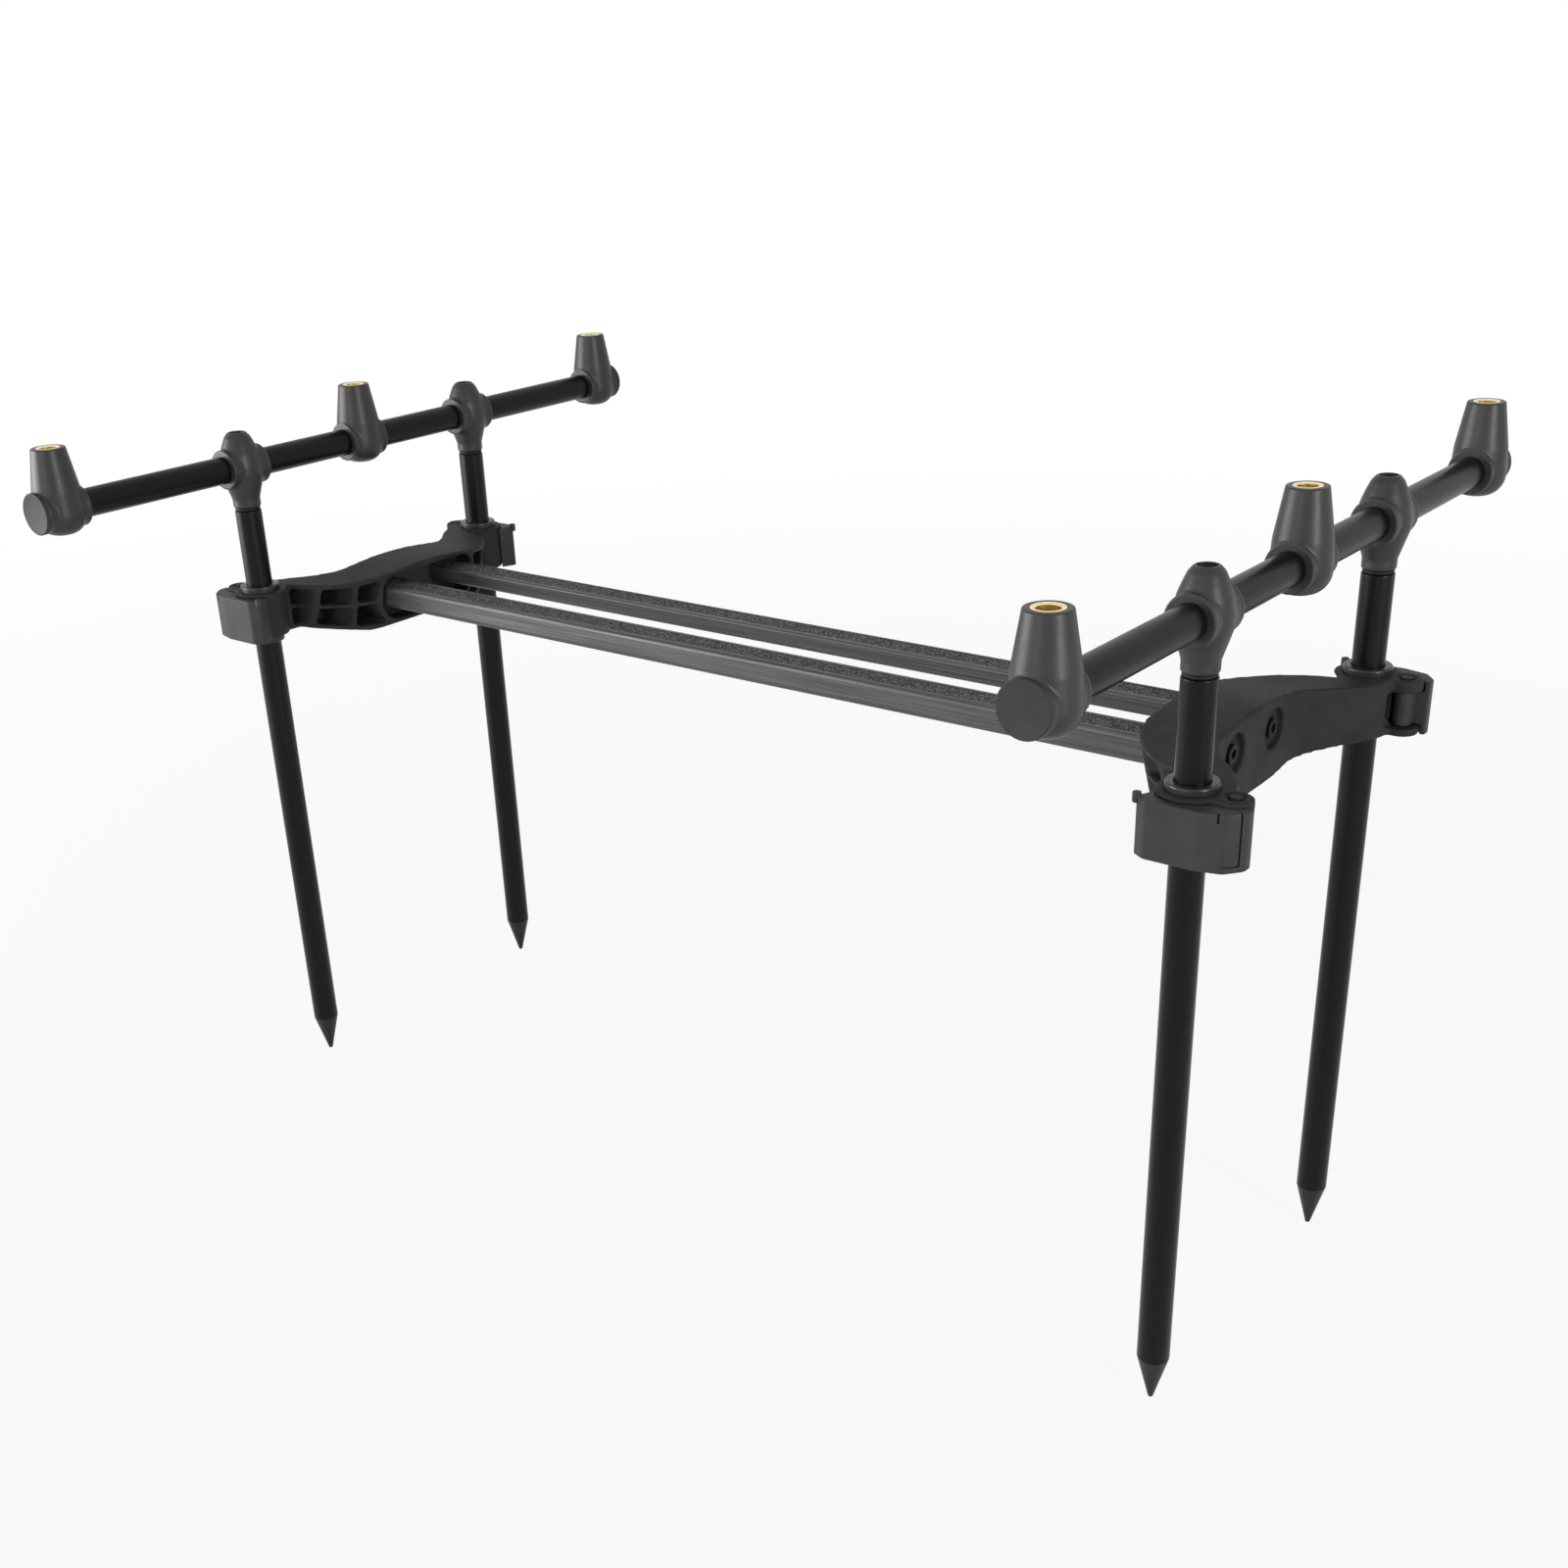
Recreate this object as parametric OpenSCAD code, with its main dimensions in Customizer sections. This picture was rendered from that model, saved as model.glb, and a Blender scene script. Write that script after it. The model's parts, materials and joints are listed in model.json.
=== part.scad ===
// Rod pod: twin bars between two brackets, and two leg frames that slide and clamp in the brackets.
// X runs along the pod towards its front, Y across it to the left, and Z up.
// The origin is on the ground, below the middle of the pod.

/* [Overall] */
// Distance between the front and the rear leg planes
pod_length = 630; // [520:5:800]
// Distance between the two legs of a frame
leg_spacing = 188; // [176:2:220]
// Distance from the middle rod socket to an end socket
socket_spacing = 220; // [160:5:260]

/* [Legs] */
// Outer diameter of the leg and rest tubes
tube_d = 16; // [14:0.5:18]
// Wall of the leg and rest tubes
tube_wall = 1.5; // [1:0.1:2]
// Length of a leg tube
leg_len = 350; // [260:5:450]
// Length of leg tube above the bracket collar at rest
leg_stand = 46; // [20:1:120]
// Length of the pointed part of a spike
spike_len = 25; // [18:1:40]
// Diameter of a spike's blunt tip
spike_tip_d = 2.6; // [2:0.2:5]
// Length of the spike's plug inside the leg tube
spike_plug = 22; // [12:1:40]
// Length of the spigot's plug inside the leg tube
spigot_plug = 24; // [16:1:40]
// Diameter of the spigot's upper end
spigot_d = 10.8; // [9:0.2:11]
// Depth of the spigot in the tee socket
spigot_seat = 9; // [6:0.5:12]
// Gap between leg tube and tee socket, filled by the ring
ring_gap = 2.2; // [1.6:0.1:3]

/* [Rest bars] */
// Diameter of a rod socket at the rest bar's axis
socket_d = 28; // [26:0.5:32]
// Diameter of a rod socket's shoulder, where its cone starts
shoulder_d = 26.6; // [24:0.2:28]
// Height of a rod socket's shoulder above the rest bar's axis
shoulder_rise = 11; // [6:1:16]
// Diameter of a rod socket's top
socket_top_d = 19; // [17:0.5:22]
// Height of a rod socket above the rest bar's axis
socket_rise = 34; // [30:1:45]
// Depth of a rod socket below the rest bar's axis
socket_bowl = 14; // [13:0.5:18]
// Length of the sleeve of a socket along the rest bar
sleeve_len = 27; // [24:1:36]
// Wall of a socket's sleeve
sleeve_wall = 3.4; // [2.4:0.1:4]
// Diameter of a tee socket's widest part
tee_d = 26; // [24:0.5:30]
// Height of a tee socket's top above the rest bar's axis
tee_rise = 20.5; // [19:0.5:26]
// Depth of a tee socket's neck below the rest bar's axis
tee_drop = 24; // [22:1:34]
// Length of the straight neck of a tee socket
tee_neck = 5; // [3:0.5:7]
// Outer diameter of a brass insert
insert_d = 13.5; // [12:0.1:14.5]
// Diameter of the threaded hole in a brass insert
thread_d = 9.5; // [8:0.1:10]
// Length of a brass insert
insert_len = 20; // [12:1:22]
// Thickness of a rest bar's end cap
cap_t = 2.2; // [1.5:0.1:4]
// Length of an end cap's plug inside the rest bar
cap_plug = 9; // [6:1:16]
// Diameter of the tee screws
tee_screw_d = 5; // [4:0.5:6]

/* [Main bars] */
// Width of a main bar
bar_w = 20; // [18:0.5:24]
// Height of a main bar's outer side
bar_h_out = 15; // [14:0.5:18]
// Height of a main bar's inner side
bar_h_in = 9; // [8.5:0.5:13]
// Distance of a bar's inner side from the pod's middle
bar_in = 15.5; // [12:0.5:17]
// Depth of the bars' tops below the tops of the arms
bar_sink = 5.5; // [4.5:0.5:8]
// Wall of a main bar
bar_wall = 1.8; // [1.5:0.1:2]
// Width of the textured strip
strip_w = 13; // [8:0.5:14]
// Thickness of the textured strip
strip_t = 0.8; // [0.5:0.1:1]
// Length of the plug in a bar's end
bar_plug_len = 28; // [20:1:40]
// Distance of the bracket bolts from the pod's middle
bolt_y = 21; // [20.5:0.5:25]
// Diameter of the bracket bolts
bolt_d = 5; // [4:0.5:5]

/* [Brackets] */
// Height of a leg boss
boss_h = 28.5; // [26:0.5:36]
// Wall of a leg boss around its bush
boss_wall = 3.8; // [3:0.1:5]
// Distance of the bracket's outer face from the leg plane, at its middle
core_inset = 14; // [12:0.5:18]
// Distance of the bracket's inner rim from the leg plane, at its top
rim_reach = 55; // [52:1:66]
// Amount by which the inner rim leans back at its foot
rim_lean = 9; // [4:0.5:12]
// Rise of the bracket's top from arm to middle
hump = 5; // [3:0.5:8]
// Drop of the bracket's underside from arm to middle
belly = 8; // [6:0.5:12]
// Thickness of the arms' outer skin
skin = 4; // [3:0.5:5]
// Thickness of the arms' top and bottom plates
plate = 3; // [2.5:0.5:5]
// Thickness of the ribs
rib = 2.4; // [1.6:0.2:3]
// Depth of the hood around the bars
hood_depth = 20; // [12:1:24]
// Diameter of the bolt counterbores
counterbore_d = 20; // [16:0.5:21]
// Depth of the bolt counterbores
counterbore_depth = 4.5; // [3:0.5:6]
// Thickness of the wall between bolt head and bar
end_wall = 4; // [3:0.5:6]

/* [Clamps] */
// Wall of a leg bush
bush_wall = 2.4; // [2:0.1:3]
// Height of a bush collar
collar_h = 3.5; // [2:0.5:5]
// Width of a bush collar's rim
collar_rim = 1.4; // [1:0.1:2]
// Length of bush below the boss
bush_tail = 4; // [2:0.5:6]
// Diameter of a lever pin
pin_d = 4; // [3:0.5:5]
// Radius of a lever's hub
hub_r = 4.4; // [4:0.1:5]
// Throw of a lever's cam
cam_throw = 0.5; // [0.3:0.1:0.8]
// Radius of the ears that hold a lever pin
ear_r = 8; // [7:0.1:8.6]
// Thickness of an upper ear
ear_top_t = 6.5; // [5:0.5:7]
// Thickness of a lower ear
ear_low_t = 4; // [3:0.5:5]
// Thickness of a lever where it wraps the boss
lever_t = 4.6; // [3.5:0.1:6]
// Width of a clamp shoe
shoe_w = 9.4; // [8:0.2:10]
// Height of a clamp shoe
shoe_h = 13.4; // [10:0.2:15]

/* [Clearances] */
// Radial clearance of a leg tube in its bush
slide_fit = 0.05; // [0.02:0.01:0.1]
// Radial clearance of a lever on its pin
pin_fit = 0.04; // [0.02:0.01:0.08]
// Gap between pieces that are pressed or screwed together
seat_gap = 0.02; // [0.01:0.01:0.05]
// Gap between pieces that move past each other
run_gap = 0.5; // [0.4:0.1:0.8]
// Clearance around a screw's shank
screw_gap = 0.25; // [0.2:0.05:0.4]

/* [Hidden] */
$fn = 48;
front = 1;
rear = -1;
left = 1;
right = -1;

leg_x = pod_length / 2;
leg_y = leg_spacing / 2;
tube_r = tube_d / 2;
tube_in = tube_r - tube_wall;

// Heights above the ground
tube_top = spike_len + leg_len;
tee_low = tube_top + ring_gap;
rest_z = tee_low + tee_drop;
collar_top = tube_top - leg_stand;
arm_top = collar_top - collar_h;
boss_low = arm_top - boss_h;
boss_mid = arm_top - boss_h / 2;
bar_top = arm_top - bar_sink;

// Clamp radii, outwards from the leg's axis
bush_bore = tube_r + slide_fit;
bush_r = bush_bore + bush_wall;
collar_r = bush_r + collar_rim;
boss_r = bush_r + seat_gap + boss_wall;
shoe_gap = 0.3;
shoe_back = boss_r + shoe_gap;
pin_x = shoe_back + run_gap + hub_r + cam_throw;
wrap_in = shoe_back + run_gap;
wrap_out = wrap_in + lever_t;
neck_reach = ear_r + 2;
slot_low = boss_low + ear_low_t;
slot_high = arm_top - ear_top_t;
slot_h = slot_high - slot_low;
flange_rim = 1.8;
flange_r = boss_r + flange_rim;
flange_t = 1.6;
lever_top = arm_top - flange_t - run_gap;
lever_low = boss_low - run_gap;
pin_head_t = 1.6;
pin_head_r = 0.8 * pin_d;
pin_sink = 1.4;
pin_recess_r = pin_head_r + 1.3;
lug_r = 2;
lug_h = 4.8;
lug_rise = 1.8;
lever_tip = 4;
lever_reach = 6.5;
lever_chamfer = 3;
lever_wall = 1.8;
lever_end = pin_x + ear_r + run_gap + lever_wall;
lever_open = 3.5;

// Sockets on the rest bars
socket_r = socket_d / 2;
tee_r = tee_d / 2;
sleeve_r = tube_r + sleeve_wall;
lip_rise = 0.3;
lip_t = 2;
neck_step = 0.3;
neck_r = tube_r + neck_step;
cap_rim = 0.3;
thread_chamfer = 0.6;
rest_half = socket_spacing + sleeve_len / 2;
tee_screw_r = tee_screw_d / 2;
tee_head_r = 1.7 * tee_screw_r;
tee_head_h = 3.4;
tee_recess = 1.2;
tee_screw_grip = 12;
ring_r = ring_gap / 2 - seat_gap;

// Main bars and their fixing
bar_y = bar_in + bar_w / 2;
bar_slope = (bar_h_out - bar_h_in) / bar_w;
bar_end = core_inset + counterbore_depth + end_wall + seat_gap;
bar_len = pod_length - 2 * bar_end;
bolt_z = bar_low(bolt_y - bar_y, 0) / 2;
bolt_r = bolt_d / 2;
bolt_flange_r = 1.3 * bolt_d;
bolt_flange_t = 1.6;
bolt_head_r = 0.95 * bolt_d;
bolt_head_t = 3.6;
bolt_short = 4;
hex_depth = 2;
strip_sink = 0.05;
strip_seat = strip_t + strip_sink;
bar_clear = 0.1;
bar_edges = [2.4, 3.2, 2.4, 1.6];
edge_least = 0.6;

// Bracket outline
core_flat = 36;
shoulder_y = 25;
rim_ease = 0.4;
arm_neck = 8;
boss_blend = 1.5;
arm_end = boss_r + boss_blend;
bracket_low = boss_low - belly;
bracket_high = arm_top + hump;
hump_foot = leg_y - boss_r - 8;
belly_flat = 12;
hood_wall = 3;
hood_side = 2.5;
hood_drop = 8.5;
hood_roof = 4;
hood_top_r = 9;
hood_low_r = 14;
hood_half = bar_in + bar_w + hood_side;
hood_low = bar_top - bar_h_out - hood_drop;
hood_high = bracket_high - hood_roof;
lip_low = hood_low - hood_wall;
rib_bite = 0.6;
cell_outer = 6;
cell_middle = 14;
cell_end = leg_y - boss_r + rib_bite - rib;
cell_edges = [hood_half - hood_low_r / 2, cell_end - cell_outer - cell_middle - 2 * rib,
    cell_end - cell_outer - cell_middle - rib, cell_end - cell_outer - rib, cell_end - cell_outer, cell_end];
curve_steps = 14;

// Smooth step from 0 to 1
function ease(t) = (1 - cos(180 * min(1, max(0, t)))) / 2;

function unit(v) = v / norm(v);

// Points of an arc of radius r in the corner b of the path a, b, c
function corner(a, b, c, r, n) = r == 0 ? [b] :
    let (u = unit(a - b), w = unit(c - b), half = acos(u * w) / 2)
    let (m = b + unit(u + w) * r / sin(half), p = b + u * r / tan(half), q = b + w * r / tan(half))
    let (start = atan2(p.y - m.y, p.x - m.x), stop = atan2(q.y - m.y, q.x - m.x))
    let (turn = (stop - start + 540) % 360 - 180)
    [for (i = [0 : n]) m + r * [cos(start + turn * i / n), sin(start + turn * i / n)]];

// Closed outline with a radius at each corner
function rounded(points, radii, n = 6) = let (k = len(points))
    [for (i = [0 : k - 1]) each corner(points[(i + k - 1) % k], points[i], points[(i + 1) % k], radii[i], n)];

// Section of a main bar, drawn inwards by d: width to the right, height up, from the middle of its top
function bar_low(y, d) = -(bar_h_in + bar_h_out) / 2 - y * bar_slope + d / cos(atan(bar_slope));
function bar_outline(d) = let (e = bar_w / 2 - d)
    rounded([[e, -d], [e, bar_low(e, d)], [-e, bar_low(-e, d)], [-e, -d]],
        [for (edge = bar_edges) max(edge_least, edge - d)]);

// Plan of a bracket: distance of its outer face from the leg plane, at distance y
function arm_face(y) = -core_inset
    + (core_inset + arm_end) * ease((abs(y) - core_flat) / (leg_y - ear_r - core_flat));

// Heights of a bracket's top and underside at distance y from its middle
function arm_high(y) = arm_top + hump * (1 - ease(abs(y) / hump_foot));
function arm_low(y) = boss_low - belly * (1 - ease((abs(y) - belly_flat) / (leg_y - boss_r - belly_flat)));

// Section of the hood around the bars, drawn outwards by d
function hood_outline(d) = let (half = hood_half + d)
    rounded([[half, hood_low - d], [half, hood_high + d], [-half, hood_high + d], [-half, hood_low - d]],
        [hood_low_r + d, hood_top_r + d, hood_top_r + d, hood_low_r + d]);

function steps(from, to) = [for (i = [0 : curve_steps]) from + (to - from) * i / curve_steps];

// The pod's two ends are turned copies, and the two sides of an end are mirror images.
module at_end(end) rotate([0, 0, end > 0 ? 0 : 180]) translate([leg_x, 0, 0]) children();

module on_side(side) {
    if (side > 0) children();
    else mirror([0, 1, 0]) children();
}

// Children are drawn about a leg's axis, with +X away from the pod and +Y away from its middle.
module at_leg(end, side) at_end(end) on_side(end * side) translate([0, leg_y, 0]) children();

module at_both_legs(end) {
    at_leg(end, left) children();
    at_leg(end, right) children();
}

// Cylinders along X and Y
module rod_x(r, from, to) translate([from, 0, 0]) rotate([0, 90, 0]) cylinder(r = r, h = to - from);

module rod_y(r, from, to) translate([0, from, 0]) rotate([-90, 0, 0]) cylinder(r = r, h = to - from);

// Upright plate with round ends over the leg's axis and the lever pin
module link(r, low, high) {
    for (x = [0, pin_x])
        translate([x, 0, low]) cylinder(r = r, h = high - low);
    translate([0, -r, low]) cube([pin_x, 2 * r, high - low]);
}

// Section in Y and Z, drawn along X
module along_x(from, to) translate([from, 0, 0]) rotate([90, 0, 90]) linear_extrude(to - from) children();

// Section in X and Z, drawn along Y
module along_y(from, to) translate([0, to, 0]) rotate([90, 0, 0]) linear_extrude(to - from) children();

// Bracket

module bracket_plan(reach) polygon(concat(
    [for (y = steps(-leg_y, -core_flat)) [arm_face(y), y]],
    [for (y = steps(core_flat, leg_y)) [arm_face(y), y]],
    [[-reach, leg_y], [-reach, -leg_y]]));

// Form of the inner rim: flat across the middle and round towards the bosses, leaning back below
module rim_form(reach) translate([0, 0, bracket_low - 1]) {
    height = bracket_high - bracket_low + 2;
    for (y = [-shoulder_y, shoulder_y])
        translate([0, y, 0])
            cylinder(r1 = rim_reach - rim_lean + rim_ease, r2 = rim_reach + rim_ease, h = height);
    translate([-reach, -shoulder_y, 0]) cube([2 * reach, 2 * shoulder_y, height]);
    translate([-arm_neck, -leg_y - 1, 0]) cube([arm_neck + reach, leg_spacing + 2, height]);
}

module bracket_blank() {
    reach = rim_reach + 1;
    intersection() {
        translate([0, 0, bracket_low]) linear_extrude(bracket_high - bracket_low) bracket_plan(reach);
        rim_form(reach);
        along_x(-reach, reach) polygon(concat(
            [for (y = concat(steps(-leg_y, 0), steps(0, leg_y))) [y, arm_high(y)]],
            [for (y = concat(steps(leg_y, 0), steps(0, -leg_y))) [y, arm_low(y)]]));
        along_y(-leg_y, leg_y) polygon([[-rim_reach, bracket_high], [rim_lean - rim_reach, lip_low],
            [-core_inset, bracket_low], [reach, bracket_low], [reach, bracket_high]]);
    }
}

// One column of an arm's cells, open to the pod's middle
module arm_column(from, to, low, high) translate([0, 0, low]) linear_extrude(high - low)
    polygon(concat([for (y = steps(from, to)) [arm_face(y) - skin, y]],
        [[-rim_reach - 1, to], [-rim_reach - 1, from]]));

// Cells between the plates of an arm, cut by the middle rib, outside the wall of the hood
module arm_cells() {
    reach = rim_reach + 2;
    difference() {
        intersection() {
            for (i = [0 : 2 : len(cell_edges) - 1])
                arm_column(cell_edges[i], cell_edges[i + 1], lip_low, bracket_high);
            along_x(-reach, reach) polygon(concat(
                [for (y = steps(cell_edges[0] - 1, leg_y)) [y, arm_high(y) - plate]],
                [for (y = steps(leg_y, cell_edges[0] - 1)) [y, max(arm_low(y), lip_low) + plate]]));
        }
        translate([-reach, 0, boss_mid - rib / 2]) cube([2 * reach, leg_y, rib]);
        along_x(-reach, reach) polygon(hood_outline(hood_wall));
    }
    arm_column(cell_end + rib, leg_y - bush_r, boss_low + plate, arm_top - plate);
}

// Hollow in the inner rim that hoods the bars, and the two seats of the bars behind it
module bar_seats() {
    along_x(-rim_reach - 1, -rim_reach + hood_depth) polygon(hood_outline(0));
    for (side = [left, right])
        on_side(side) {
            translate([0, bar_y, bar_top])
                along_x(-rim_reach, -bar_end + seat_gap) polygon(bar_outline(-bar_clear));
            translate([0, bolt_y, bar_top + bolt_z]) {
                rod_x(bolt_r + screw_gap, -bar_end - 1, 0);
                rod_x(counterbore_d / 2, -core_inset - counterbore_depth, leg_x);
            }
        }
}

// Window of the clamp shoe, through bush and boss
module shoe_window() translate([0, -shoe_w / 2 - shoe_gap, boss_mid - shoe_h / 2 - shoe_gap])
    cube([boss_r + 1, shoe_w + 2 * shoe_gap, shoe_h + 2 * shoe_gap]);

module boss() {
    translate([0, 0, boss_low]) cylinder(r = boss_r, h = boss_h);
    translate([0, 0, arm_top - flange_t]) cylinder(r = flange_r, h = flange_t);
    link(ear_r, boss_low, arm_top);
}

// Cuts in a boss: the bush's bore, the lever's slot, the shoe's window and the pin's seat
module boss_cuts() {
    translate([0, 0, boss_low - 1]) cylinder(r = bush_r + seat_gap, h = boss_h + 2);
    translate([0, 0, slot_low]) difference() {
        union() {
            translate([shoe_back, -neck_reach - run_gap, 0]) cube([rim_reach, 2 * rim_reach, slot_h]);
            translate([pin_x, 0, 0]) cylinder(r = neck_reach + run_gap, h = slot_h);
        }
        cylinder(r = boss_r, h = slot_h);
    }
    shoe_window();
    translate([pin_x, 0, boss_low - 1]) cylinder(r = pin_d / 2 + seat_gap, h = boss_h + 2);
    translate([pin_x, 0, arm_top - pin_sink]) cylinder(r = pin_recess_r, h = pin_sink + 1);
}

module bracket(end) color("#37383a") at_end(end) difference() {
    union() {
        difference() {
            bracket_blank();
            for (side = [left, right])
                on_side(side) arm_cells();
        }
        for (side = [left, right])
            on_side(side) translate([0, leg_y, 0]) boss();
    }
    bar_seats();
    for (side = [left, right])
        on_side(side) translate([0, leg_y, 0]) boss_cuts();
}

// Main bars

module main_bar(side) color("#6a6c6e") on_side(side) translate([0, bar_y, bar_top])
    along_x(-bar_len / 2, bar_len / 2) difference() {
        polygon(bar_outline(0));
        polygon(bar_outline(bar_wall));
        translate([-strip_w / 2 - seat_gap, -strip_seat]) square([strip_w + 2 * seat_gap, 2 * strip_seat]);
    }

module bar_strip(side) color("#4c4c4c") on_side(side)
    translate([-bar_len / 2, bar_y - strip_w / 2, bar_top - strip_seat]) cube([bar_len, strip_w, strip_t]);

module bar_plugs(end) color("#222222") at_end(end)
    for (side = [left, right])
        on_side(side) translate([0, bar_y, bar_top]) difference() {
            along_x(-bar_end - bar_plug_len, -bar_end) polygon(bar_outline(bar_wall + seat_gap));
            translate([0, bolt_y - bar_y, bolt_z]) rod_x(bolt_r + seat_gap, -bar_end - bar_plug_len - 1, 0);
        }

module bar_bolts(end) color("#2a2a2c") at_end(end)
    for (side = [left, right])
        on_side(side) translate([-core_inset - counterbore_depth, bolt_y, bar_top + bolt_z]) {
            rod_x(bolt_flange_r, 0, bolt_flange_t);
            rod_x(bolt_r, -end_wall - bar_plug_len + bolt_short, bolt_flange_t);
            difference() {
                rod_x(bolt_head_r, 0, bolt_head_t);
                translate([bolt_head_t - hex_depth, 0, 0]) rotate([0, 90, 0])
                    cylinder(r = bolt_d / 2, h = hex_depth + 1, $fn = 6);
            }
        }

// Leg clamps

module leg_bush(end, side) color("#2c2d2f") at_leg(end, side) difference() {
    rotate_extrude() polygon(rounded([[bush_bore, boss_low - bush_tail], [bush_r, boss_low - bush_tail],
        [bush_r, arm_top], [collar_r, arm_top], [collar_r, collar_top], [bush_bore, collar_top]],
        [0, 0.8, 0, 0, 1, 0.4], 3));
    shoe_window();
}

module clamp_shoe(end, side) color("#202020") at_leg(end, side) translate([0, 0, boss_mid - shoe_h / 2])
    difference() {
        intersection() {
            translate([0, -shoe_w / 2, 0]) cube([pin_x, shoe_w, shoe_h]);
            cylinder(r = shoe_back, h = shoe_h);
        }
        translate([0, 0, -1]) cylinder(r = tube_r + shoe_gap, h = shoe_h + 2);
    }

module lever_pin(end, side) color("#8a8c8e") at_leg(end, side) translate([pin_x, 0, 0]) {
    translate([0, 0, boss_low]) cylinder(r = pin_d / 2, h = boss_h - pin_sink);
    translate([0, 0, arm_top - pin_sink]) rotate_extrude()
        polygon(rounded([[0, 0], [pin_head_r, 0], [pin_head_r, pin_head_t], [0, pin_head_t]],
            [0, 0, pin_head_t / 2, 0], 4));
}

// Outline of a lever from its hub, round the outside of the boss, to its free end
module lever_outline() polygon(rounded([[0, 0], [lever_end, lever_open], [lever_end, ear_r + 1],
    [pin_x + 4, wrap_out - lever_chamfer], [wrap_in - 3, wrap_out], [3 - wrap_in, wrap_out],
    [1.5 - wrap_out, wrap_out - lever_tip], [1 - wrap_in, lever_reach]], [0, 0.5, 5, 4, 6, 4, 1.5, 0.6]));

module cam_lever(end, side) color("#46474a") at_leg(end, side) difference() {
    union() {
        difference() {
            translate([0, 0, lever_low]) linear_extrude(lever_top - lever_low) lever_outline();
            link(ear_r + run_gap, lever_low - 1, arm_top);
        }
        translate([0, 0, slot_low + run_gap]) linear_extrude(slot_h - 2 * run_gap) intersection() {
            lever_outline();
            translate([pin_x, 0]) circle(r = neck_reach);
        }
        translate([pin_x - cam_throw, 0, slot_low + run_gap]) cylinder(r = hub_r, h = slot_h - 2 * run_gap);
        translate([2 - wrap_out, wrap_out - lever_tip, lever_top + lug_rise - lug_h])
            cylinder(r = lug_r, h = lug_h);
    }
    translate([0, 0, lever_low - 1]) cylinder(r = wrap_in, h = boss_h + 3);
    translate([pin_x, 0, boss_low]) cylinder(r = pin_d / 2 + pin_fit, h = boss_h);
}

// Leg frames

module leg_tube(end, side) color("#1d1e20") at_leg(end, side) rotate_extrude()
    polygon(rounded([[tube_in, spike_len], [tube_r, spike_len], [tube_r, tube_top], [tube_in, tube_top]],
        [0, 0, 0.5, 0], 3));

module spike(end, side) color("#26272a") at_leg(end, side) {
    cylinder(r1 = spike_tip_d / 2, r2 = tube_r, h = spike_len);
    translate([0, 0, spike_len]) cylinder(r = tube_in - seat_gap, h = spike_plug);
}

module leg_spigots(end) color("#9a9c9e") at_both_legs(end) difference() {
    union() {
        translate([0, 0, tube_top - spigot_plug]) cylinder(r = tube_in - seat_gap, h = spigot_plug);
        translate([0, 0, tube_top]) cylinder(d = spigot_d, h = ring_gap + spigot_seat - seat_gap);
    }
    translate([0, 0, tube_top - spigot_plug - 1])
        cylinder(r = tee_screw_r + seat_gap, h = spigot_plug + ring_gap + spigot_seat + 2);
}

module leg_rings(end) color("#151515") at_both_legs(end)
    translate([0, 0, tube_top + ring_gap / 2]) rotate_extrude()
        translate([spigot_d / 2 + ring_r + seat_gap, 0]) circle(r = ring_r);

// Sleeve round the rest bar, with a lip at each end
module sleeve() {
    rod_y(sleeve_r, -sleeve_len / 2, sleeve_len / 2);
    for (y = [-sleeve_len / 2, sleeve_len / 2 - lip_t])
        rod_y(sleeve_r + lip_rise, y, y + lip_t);
}

module rest_bore() rod_y(tube_r + seat_gap, -sleeve_len, sleeve_len);

module tee_socket(end, side) color("#3b3c3f") at_leg(end, side) translate([0, 0, rest_z]) difference() {
    union() {
        rotate_extrude() polygon(rounded([[0, -tee_drop], [neck_r, -tee_drop], [neck_r, tee_neck - tee_drop],
            [tee_r, -4], [tee_r, 1], [0.76 * tee_r, 0.64 * tee_rise], [0.42 * tee_r, tee_rise],
            [0, tee_rise]], [0, 0.5, 3, 4, 6, 5, 2.5, 0]));
        sleeve();
    }
    rest_bore();
    translate([0, 0, -tee_drop - 1]) cylinder(r = spigot_d / 2 + seat_gap, h = spigot_seat + 1);
    translate([0, 0, -tee_drop]) cylinder(r = tee_screw_r + screw_gap, h = tee_drop + tee_rise);
    translate([0, 0, tee_rise - tee_recess - tee_head_h])
        cylinder(r = tee_head_r + screw_gap, h = tee_head_h + tee_rise);
}

module tee_screws(end) color("#55575a") at_both_legs(end) {
    seat = rest_z + tee_rise - tee_recess - tee_head_h;
    foot = tee_low - tee_screw_grip;
    translate([0, 0, foot]) cylinder(r = tee_screw_r, h = seat - foot + 1);
    difference() {
        translate([0, 0, seat]) cylinder(r = tee_head_r, h = tee_head_h);
        translate([0, 0, seat + tee_head_h - hex_depth])
            cylinder(r = 0.56 * tee_head_r, h = hex_depth + 1, $fn = 6);
    }
}

module rest_bar(end) color("#1d1e20") at_end(end) translate([0, 0, rest_z]) difference() {
    rod_y(tube_r, -rest_half, rest_half);
    rod_y(tube_in, -rest_half - 1, rest_half + 1);
    for (y = [-leg_y, leg_y])
        translate([0, y, -tube_d]) cylinder(r = tee_screw_r + screw_gap, h = 2 * tube_d);
}

// Rod socket number place: 1 at the left, 0 in the middle and -1 at the right
module at_socket(end, place) at_end(end) translate([0, end * place * socket_spacing, rest_z]) children();

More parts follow.
